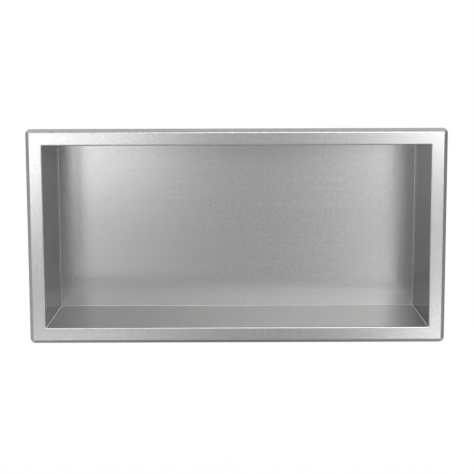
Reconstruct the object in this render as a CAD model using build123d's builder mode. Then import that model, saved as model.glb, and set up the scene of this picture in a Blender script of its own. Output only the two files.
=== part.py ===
"""Recessed wall shelf: one sheet of stainless steel, drawn and folded, with its corner seams welded.

Frame: +X to the right seen from the room, +Y into the wall, +Z up.
The origin is the centre of the recess in the plane of the wall face, where the flange's rim seats.
"""

from build123d import *
import os

# Driving dimensions, in millimetres

opening_width = 406.4  # clear width between the side walls, 16 in
opening_height = 193.7  # clear height from the floor to the ceiling, 7 5/8 in
recess_depth = 101.6  # front face of the flange to the back panel, 4 in
flange_width = 17.4  # side wall to the outer edge of the flange, 11/16 in
flange_proud = 4.8  # front face of the flange to the wall face, 3/16 in
bevel_width = 4.0  # how much of the flange's width is its bevelled rim
rim_return = 1.2  # how far the rim is turned straight back at the wall face
sheet = 0.8  # 22 gauge sheet
fold_radius = 0.6  # inside radius of every fold
seam_blend = 0.4  # how much rounder a welded corner seam is than a fold

# Sizes that follow from them

outer_fold_radius = fold_radius + sheet
seam_radius = fold_radius + seam_blend
flange_outer_width = opening_width + 2 * flange_width
flange_outer_height = opening_height + 2 * flange_width
rim_corner_radius = bevel_width + outer_fold_radius
bevel_depth = flange_proud - rim_return
box_width = opening_width + 2 * sheet
box_height = opening_height + 2 * sheet
wall_face = Plane.XZ
front_face = wall_face.offset(flange_proud)

with BuildPart() as shelf:
    # The flange is a shallow drawn tray, open towards the wall.
    # Its rim slopes back in a bevel that turns the corners as cones, then runs straight to the wall.
    # Both edges of the bevel are bends: one at the flat of the flange, one where the rim turns straight.
    with BuildSketch(wall_face):
        RectangleRounded(flange_outer_width, flange_outer_height, rim_corner_radius)
    extrude(amount=flange_proud)
    tray_front = shelf.faces().sort_by(Axis.Y)[0]
    chamfer(tray_front.edges(), bevel_width, bevel_depth, reference=tray_front)
    edges_from_front = shelf.edges().group_by(Axis.Y)
    flat_edge, bevel_foot = edges_from_front[0], edges_from_front[2]
    fillet(flat_edge + bevel_foot, outer_fold_radius)
    offset(amount=-sheet, openings=shelf.faces().sort_by(Axis.Y)[-1])

    # The box stands behind the flange, and its corner seams are welded and blended.
    with BuildSketch(front_face.offset(-sheet)):
        RectangleRounded(box_width, box_height, seam_radius + sheet)
    extrude(amount=-recess_depth)
    with BuildSketch(front_face):
        RectangleRounded(opening_width, opening_height, seam_radius)
    extrude(amount=-recess_depth, mode=Mode.SUBTRACT)

    # The walls fold out of the back panel: the inside of each fold shows in the recess.
    back_panel_front = shelf.faces().filter_by(Plane.XZ).sort_by(Axis.Y)[-2]
    fillet(back_panel_front.edges(), fold_radius)
    back_panel_rear = shelf.faces().filter_by(Plane.XZ).sort_by(Axis.Y)[-1]
    fillet(back_panel_rear.edges(), outer_fold_radius)

    # The walls fold out into the flange: the outside of that fold is the lip of the recess.
    flange_front = shelf.faces().filter_by(Plane.XZ).sort_by(Axis.Y)[0]
    fillet(flange_front.inner_wires().edges(), outer_fold_radius)
    flange_rear = shelf.faces().filter_by(Plane.XZ).sort_by(Axis.Y)[1]
    fillet(flange_rear.inner_wires().edges(), fold_radius)

shelf.part.label = "recessed_shelf"

os.makedirs("parts", exist_ok=True)
export_step(shelf.part, "parts/recessed_shelf.step")
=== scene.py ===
import math

import bpy
import numpy as np
from mathutils import Matrix, Vector


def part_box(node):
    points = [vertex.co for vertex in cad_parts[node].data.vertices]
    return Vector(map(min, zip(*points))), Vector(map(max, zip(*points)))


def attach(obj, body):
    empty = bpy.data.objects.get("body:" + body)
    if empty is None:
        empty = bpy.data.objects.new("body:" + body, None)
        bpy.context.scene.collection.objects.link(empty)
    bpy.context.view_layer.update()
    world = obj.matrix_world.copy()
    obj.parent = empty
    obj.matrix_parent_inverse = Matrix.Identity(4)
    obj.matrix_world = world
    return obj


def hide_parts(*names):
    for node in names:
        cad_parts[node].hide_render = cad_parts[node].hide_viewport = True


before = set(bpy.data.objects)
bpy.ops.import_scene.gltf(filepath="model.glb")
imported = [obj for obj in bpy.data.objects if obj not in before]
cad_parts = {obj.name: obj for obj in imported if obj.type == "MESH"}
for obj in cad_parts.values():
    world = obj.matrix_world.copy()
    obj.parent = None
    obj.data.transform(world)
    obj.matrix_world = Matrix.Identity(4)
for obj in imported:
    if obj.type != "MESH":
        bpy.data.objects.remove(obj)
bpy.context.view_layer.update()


# The shelf
# One sheet of 22 gauge stainless steel: walls and flange folded, rim bevelled back, corner seams welded.
# It goes into a hole in the wall, and the cut edge of its rim seats on the wall face, at y = 0.

shelf_low, shelf_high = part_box("recessed_shelf")
sheet = 0.0008
fold_inside = 0.0006
fold_outside = fold_inside + sheet
seam_inside = 0.0010
flange_width = 0.0174
bevel_width = 0.0040
rim_return = 0.0012
cut_edge_round = 0.00012
front_face = shelf_low.y
rear_face = shelf_high.y
back_face = rear_face - sheet
opening_half_width = shelf_high.x - flange_width
opening_half_height = shelf_high.z - flange_width
rim_corner = bevel_width + fold_outside
bevel_angle = math.atan2(-front_face - rim_return, bevel_width)
flat_edge = flange_width - bevel_width - fold_outside * math.tan(bevel_angle / 2)

steel_colour = (0.552, 0.55, 0.547)
steel_edge_tint = (0.55, 0.55, 0.55, 1)
grain_scale = (60, 5000, 1)
band_scale = (5, 300, 1)
mottle_scale = 320
grain_tone = 0.06
band_tone = 0.05
mottle_tone = 0.22
steel_roughness = 0.265
lie_roughness = 0.08
grain_roughness = 0.02
band_roughness = 0.01
mottle_bump = 0.06
grain_bump = 0.002
bump_height = 0.0001


def arc(centre_out, centre_y, radius, start, end, steps):
    """Points (out, y) on a circle about a centre, at even angles.

    Angle 0 points outwards, and a quarter turn points into the wall.
    """
    angle = np.linspace(start, end, steps + 1)
    return np.stack([centre_out + radius * np.cos(angle), centre_y + radius * np.sin(angle)], axis=1)


def sheet_section():
    """The sheet's section as points (out, y), from the back panel's front, over the flange, to its rear.

    Out is the distance outwards from the recess wall. Both skins are straight runs joined by bends about
    common centres, so the sheet is equally thick all the way. The cut edge at the wall face has two tiny
    rounds.
    """
    quarter = math.pi / 2
    fold_y = front_face + fold_outside
    back_fold_y = back_face - fold_inside
    bevel = bevel_angle - quarter
    rim_in = flange_width - sheet
    rim_fold = flange_width - fold_outside
    rim_fold_y = fold_outside * math.tan(-bevel / 2) - rim_return
    front = [
        arc(-fold_inside, back_fold_y, fold_inside, quarter, 0, 8),
        arc(fold_outside, fold_y, fold_outside, -2 * quarter, -quarter, 14),
        arc(flat_edge, fold_y, fold_outside, -quarter, bevel, 10),
        arc(rim_fold, rim_fold_y, fold_outside, bevel, 0, 10),
        arc(flange_width - cut_edge_round, -cut_edge_round, cut_edge_round, 0, quarter, 4),
    ]
    rear = [
        arc(rim_in + cut_edge_round, -cut_edge_round, cut_edge_round, quarter, 2 * quarter, 4),
        arc(rim_fold, rim_fold_y, fold_inside, 0, bevel, 8),
        arc(flat_edge, fold_y, fold_inside, bevel, -quarter, 8),
        arc(fold_outside, fold_y, fold_inside, -quarter, -2 * quarter, 8),
        arc(-fold_inside, back_fold_y, fold_outside, 0, quarter, 12),
    ]
    return np.concatenate(front + rear)


def with_supports(points, gap=0.0003):
    """The same run of points, with one more this far from each end of every long enough stretch."""
    start, end = points[:-1], points[1:]
    length = np.linalg.norm(end - start, axis=1, keepdims=True)
    step = (end - start) / length * gap
    stretch = np.stack([start, start + step, end - step], axis=1)
    long_enough = length > 3 * gap
    wanted = np.concatenate([np.ones_like(long_enough), long_enough, long_enough], axis=1)
    return np.concatenate([stretch[wanted], points[-1:]])


def corner_radius(out):
    """Plan radius of the corners at a distance out.

    The seam's radius grows with out up to the fold, the rim's radius shrinks inwards down to the flat, and
    the flat blends evenly from one to the other.
    """
    stations = [-fold_inside, fold_outside, flat_edge, flange_width]
    seam_radii = [seam_inside - fold_inside, seam_inside + fold_outside]
    rim_radii = [rim_corner - flange_width + flat_edge, rim_corner]
    return np.interp(out, stations, seam_radii + rim_radii)


def perimeter(corner_steps, side_stops):
    """A rounded rectangle as arrays: the corner centre's place on a unit square, and the angle outwards.

    Each quarter turn of the angle happens at one corner of the square, and each side is walked in
    side_stops with the angle held. A rectangle of any size and corner radius comes from the same arrays.
    """
    turn = np.concatenate([np.linspace(0, 1, corner_steps + 1), np.ones(len(side_stops))])
    walk = np.concatenate([np.zeros(corner_steps + 1), side_stops])
    angle = (np.arange(4)[:, None] + turn) * math.pi / 2
    corner = np.array([[1, 1], [-1, 1], [-1, -1], [1, -1], [1, 1]], float)
    square = corner[:4, None] + np.diff(corner, axis=0)[:, None] * walk[None, :, None]
    return square.reshape(-1, 2), angle.ravel()


def sheet_surface():
    """The whole sheet as a closed skin: its section carried round the rounded rectangle of the recess.

    A ring at distance out has its corner centres at the opening's half sizes plus out, less the corner
    radius, and its points one corner radius beyond. The section's ends shrink to the back panel's middle.
    Returns the points, the faces, each point's place on the flat blank, and how the grain lies to the
    recess's depth: 1 across it on the floor and ceiling, -1 along it on the side walls, 0 elsewhere.
    """
    section = with_supports(sheet_section())
    out, depth = section.T
    square, angle = perimeter(10, np.array([0.004, 0.12, 0.3, 0.5, 0.7, 0.88, 0.996]))
    normal = np.stack([np.cos(angle), np.sin(angle)], axis=1)
    radius = corner_radius(out)
    centre = np.array([opening_half_width, opening_half_height]) + (out - radius)[:, None]
    rings = centre[:, None] * square + radius[:, None, None] * normal

    # The flange lies on the blank where it lies in the shelf, and the walls are unrolled round the panel.
    run = np.concatenate([[0], np.cumsum(np.linalg.norm(np.diff(section, axis=0), axis=1))])
    run = np.minimum(run, run[-1] - run)
    tolerance = 1e-6
    on_flange = out > sheet + tolerance
    blank = np.where(on_flange[:, None, None], rings, rings[0] + run[:, None, None] * normal)
    on_wall = (np.abs(out - sheet / 2) <= sheet / 2 + tolerance) & (depth > front_face + sheet)
    lie = on_wall[:, None] * (normal[:, 1] ** 2 - normal[:, 0] ** 2)

    # The back panel's two faces are the first and the last ring, shrunk in steps.
    inwards = np.array([0.06, 0.2, 0.4, 0.6, 0.8, 0.93, 0.99])
    panel = rings[0] * inwards[:, None, None]
    rear_panel = rings[-1] * inwards[::-1, None, None]
    flat = np.concatenate([panel, rings, rear_panel])
    blank = np.concatenate([panel, blank, rear_panel])
    lie = np.pad(lie, [(len(inwards), len(inwards)), (0, 0)])
    depth = np.pad(depth, len(inwards), constant_values=(back_face, rear_face))
    depth = np.broadcast_to(depth[:, None], flat.shape[:2])
    points = np.stack([flat[..., 0], depth, flat[..., 1]], axis=2)

    number = np.arange(lie.size).reshape(lie.shape)
    after = np.roll(number, -1, axis=1)
    quads = np.stack([number[:-1], after[:-1], after[1:], number[1:]], axis=2).reshape(-1, 4)
    front_middle = np.full(lie.shape[1], lie.size)
    front_fan = np.stack([front_middle, after[0], number[0]], axis=1)
    rear_fan = np.stack([front_middle + 1, number[-1], after[-1]], axis=1)
    points = np.concatenate([points.reshape(-1, 3), [[0, back_face, 0], [0, rear_face, 0]]])
    blank = np.concatenate([blank.reshape(-1, 2), np.zeros((2, 2))])
    lie = np.concatenate([lie.ravel(), np.zeros(2)])
    return points, quads.tolist() + front_fan.tolist() + rear_fan.tolist(), blank, lie


scene = bpy.context.scene


def mesh_object(name, points, faces, material, smooth):
    """A mesh object at the origin, from an array of points and a list of faces."""
    mesh = bpy.data.meshes.new(name)
    mesh.from_pydata(points.tolist(), [], faces)
    mesh.materials.append(material)
    mesh.polygons.foreach_set("use_smooth", np.full(len(mesh.polygons), smooth))
    mesh.update()
    item = bpy.data.objects.new(name, mesh)
    scene.collection.objects.link(item)
    return item


class Socket:
    """An output socket of a node tree: operators on it add Math nodes, and node() adds any other node."""

    def __init__(self, tree, output=None):
        self.tree = tree
        self.output = output

    def node(self, kind, settings=None, inputs=None, output=0):
        """Adds a node, sets its settings, then its inputs by name or number, and wraps one output."""
        made = self.tree.nodes.new(kind)
        for name, value in (settings or {}).items():
            setattr(made, name, value)
        for name, value in (inputs or {}).items():
            if isinstance(value, Socket):
                self.tree.links.new(value.output, made.inputs[name])
            else:
                made.inputs[name].default_value = value
        return Socket(self.tree, made.outputs[output]) if made.outputs else None

    def beside(self, output):
        """Another output of the same node."""
        return Socket(self.tree, self.output.node.outputs[output])

    def maths(self, operation, *values):
        """Adds a Math node with these values."""
        return self.node("ShaderNodeMath", {"operation": operation}, dict(enumerate(values)))

    def __add__(self, other):
        return self.maths("ADD", self, other)

    def __sub__(self, other):
        return self.maths("SUBTRACT", self, other)

    def __rsub__(self, other):
        return self.maths("SUBTRACT", other, self)

    def __mul__(self, other):
        return self.maths("MULTIPLY", self, other)

    __radd__ = __add__
    __rmul__ = __mul__


def new_material(name):
    """An empty node material, and a Socket on its tree."""
    material = bpy.data.materials.new(name)
    material.use_nodes = True
    material.node_tree.nodes.clear()
    return material, Socket(material.node_tree)


def satin_steel():
    """Satin stainless steel with its grain along the blank's width.

    Fine grain and wider bands, each a noise stretched along the width, vary tone and roughness a little.
    A third noise mottles the tone and makes the sheet faintly uneven. The steel looks rougher where the
    grain lies across the recess's depth than where it lies along it.
    """
    material, tree = new_material("satin_steel")
    blank = tree.node("ShaderNodeUVMap", {"uv_map": "blank"})
    fine = tree.node("ShaderNodeMapping", {"vector_type": "POINT"}, {"Vector": blank, "Scale": grain_scale})
    wide = tree.node("ShaderNodeMapping", {"vector_type": "POINT"}, {"Vector": blank, "Scale": band_scale})
    flat_noise = {"noise_dimensions": "2D"}
    grain = tree.node("ShaderNodeTexNoise", flat_noise, {"Vector": fine, "Scale": 1, "Detail": 2})
    bands = tree.node("ShaderNodeTexNoise", flat_noise, {"Vector": wide, "Scale": 1, "Detail": 2})
    mottle = tree.node("ShaderNodeTexNoise", flat_noise, {
        "Vector": blank, "Scale": mottle_scale, "Detail": 2})
    grain_level = grain - 0.5
    band_level = bands - 0.5
    mottle_level = mottle - 0.5
    tone = 1 + grain_tone * grain_level + band_tone * band_level + mottle_tone * mottle_level
    colour = tree.node("ShaderNodeVectorMath", {"operation": "SCALE"}, {0: steel_colour, "Scale": tone})
    lie = tree.node("ShaderNodeAttribute", {"attribute_name": "grain_lie"}, output="Fac")
    roughness = steel_roughness + lie_roughness * lie
    roughness = roughness + grain_roughness * grain_level + band_roughness * band_level
    sheet_bump = tree.node("ShaderNodeBump", None, {
        "Height": mottle, "Strength": mottle_bump, "Distance": bump_height})
    both_bumps = tree.node("ShaderNodeBump", None, {
        "Height": grain, "Strength": grain_bump, "Distance": bump_height, "Normal": sheet_bump})
    metal = tree.node("ShaderNodeBsdfPrincipled", None, {
        "Base Color": colour, "Metallic": 1.0, "Roughness": roughness, "Normal": both_bumps,
        "Specular Tint": steel_edge_tint})
    tree.node("ShaderNodeOutputMaterial", None, {"Surface": metal})
    return material


points, faces, blank, lie = sheet_surface()
shelf = mesh_object("shelf", points, faces, satin_steel(), True)
corners = np.zeros(len(shelf.data.loops), np.int32)
shelf.data.loops.foreach_get("vertex_index", corners)
blank_map = shelf.data.uv_layers.new(name="blank")
blank_map.data.foreach_set("uv", blank[corners].ravel())
grain_lie = shelf.data.attributes.new("grain_lie", "FLOAT", "POINT")
grain_lie.data.foreach_set("value", lie)
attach(shelf, "root")
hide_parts("recessed_shelf")


# The floor
# A wide sheet of plain white paper, laid flat and running out of the picture on all sides.
# It lies well below the shelf, which hangs in the air as it does on its wall.

floor_height = -0.9
floor_reach = 40.0
floor_white, tree = new_material("floor_white")
paper = tree.node("ShaderNodeBsdfDiffuse", None, {"Color": (1, 1, 1, 1)})
tree.node("ShaderNodeOutputMaterial", None, {"Surface": paper})
floor_corners = np.array([[-1, -1], [1, -1], [1, 1], [-1, 1]]) * floor_reach
floor_points = np.concatenate([floor_corners, np.full((4, 1), floor_height)], axis=1)
floor = mesh_object("floor", floor_points, [[0, 1, 2, 3]], floor_white, False)


# The light tent
# A tent of white cloth, stretched all round the shelf and cut off flat just over the floor.
# Its sides are lit unequally from outside, and it shows only in what mirrors it.

tent_radius = 2.4
tent_clearance = 0.03
tent_edges = 0.36
tent_levels = {"left": 0.46, "right": 0.28, "top": 0.62, "bottom": 0.25, "front": 0.25, "back": 1.0}


def tent_surface(rows, columns):
    """A sphere about the origin, cut off flat just over the floor.

    The reach in each direction is the lesser of the tent's radius and the distance to that flat.
    """
    rise = np.linspace(-0.499, 0.499, rows) * math.pi
    turn = np.arange(columns) / columns * 2 * math.pi
    rise, turn = np.meshgrid(rise, turn, indexing="ij")
    down = np.maximum(-np.sin(rise), 1e-6)
    reach = np.minimum(tent_radius, (-floor_height - tent_clearance) / down)
    direction = np.stack([np.cos(rise) * np.sin(turn), -np.cos(rise) * np.cos(turn), np.sin(rise)], axis=2)
    number = np.arange(rows * columns).reshape(rows, columns)
    after = np.roll(number, -1, axis=1)
    quads = np.stack([number[:-1], number[1:], after[1:], after[:-1]], axis=2).reshape(-1, 4)
    return (direction * reach[..., None]).reshape(-1, 3), quads.tolist()


def tent_cloth():
    """Glowing cloth: each of the six sides has its level, weighed by the square of the direction's share.

    The edge level is added halfway between two sides: twice that level, times 1 less the shares' fourth
    powers.
    """
    material, tree = new_material("tent_cloth")
    place = tree.node("ShaderNodeTexCoord", output="Object")
    toward = tree.node("ShaderNodeVectorMath", {"operation": "NORMALIZE"}, {0: place})
    axes = tree.node("ShaderNodeSeparateXYZ", None, {0: toward})
    level = 2 * tent_edges
    for number, (low, high) in enumerate([("left", "right"), ("front", "back"), ("bottom", "top")]):
        share = axes.beside(number)
        positive = share.maths("GREATER_THAN", share, 0.0)
        side = tent_levels[low] + positive * (tent_levels[high] - tent_levels[low])
        square = share * share
        level = square * side - square * square * (2 * tent_edges) + level
    glow = tree.node("ShaderNodeEmission", None, {"Color": level, "Strength": 1.0})
    tree.node("ShaderNodeOutputMaterial", None, {"Surface": glow})
    material.cycles.emission_sampling = "NONE"
    return material


tent = mesh_object("tent", *tent_surface(60, 120), tent_cloth(), True)
tent.visible_camera = False
tent.visible_diffuse = False
tent.visible_transmission = False
tent.visible_volume_scatter = False
tent.visible_shadow = False


# The lamps
# Rectangular softboxes inside the tent, round the camera, each aimed at the middle of the recess.
# They show only in what mirrors them, and the white room round the tent gives the rest of the light.

softbox_distance = 1.8


def softbox(name, turn, rise, width, height, radiance):
    """A flat lamp aimed at the origin from so many degrees to the right of the front and above it."""
    turn, rise = math.radians(turn), math.radians(rise)
    toward = Vector((math.sin(turn) * math.cos(rise), -math.cos(turn) * math.cos(rise), math.sin(rise)))
    place = toward * softbox_distance
    light = bpy.data.lights.new(name, "AREA")
    light.shape = "RECTANGLE"
    light.size = width
    light.size_y = height
    light.energy = radiance * math.pi * width * height
    item = bpy.data.objects.new(name, light)
    item.matrix_world = Matrix.Translation(place) @ place.to_track_quat("Z", "Y").to_matrix().to_4x4()
    item.visible_camera = False
    item.visible_diffuse = False
    scene.collection.objects.link(item)


softbox("left_bank", -24, 5, 0.26, 0.7, 5.4)
softbox("left_inner", -12, 2, 0.26, 0.4, 2.2)
softbox("left_low", -18, -24, 0.6, 0.25, 2.0)
softbox("right_bank", 23, 7, 0.3, 0.42, 7.4)
softbox("right_inner", 14, -2, 0.22, 0.6, 0.7)
softbox("right_low", 22, -20, 0.35, 0.3, 3.2)
softbox("top", 13, 23, 1.1, 0.6, 2.9)
softbox("overhead", 0, 48, 1.6, 0.6, 2.0)

world = bpy.data.worlds.new("white_room")
world.use_nodes = True
world.node_tree.nodes["Background"].inputs["Color"].default_value = (1, 1, 1, 1)
scene.world = world


# The camera
# It has a moderately long lens, and stands a good metre in front of the shelf and a little above it.
# It is tilted slightly down, and its sensor is shifted a little, which keeps the uprights nearly parallel.

image_size = 474
focal_pixels = 1076.0
camera_place = (-0.0007, -1.1226, 0.1844)
look_down = math.radians(6.831)
look_right = math.radians(0.048)
roll = math.radians(-0.184)
camera_data = bpy.data.cameras.new("camera")
camera_data.sensor_width = 36.0
camera_data.lens = focal_pixels / image_size * camera_data.sensor_width
camera_data.shift_y = -0.1
camera = bpy.data.objects.new("camera", camera_data)
camera.matrix_world = (
    Matrix.Translation(camera_place)
    @ Matrix.Rotation(-look_right, 4, "Z")
    @ Matrix.Rotation(math.pi / 2 - look_down, 4, "X")
    @ Matrix.Rotation(roll, 4, "Z")
)
scene.collection.objects.link(camera)
scene.camera = camera
scene.view_settings.view_transform = "Standard"
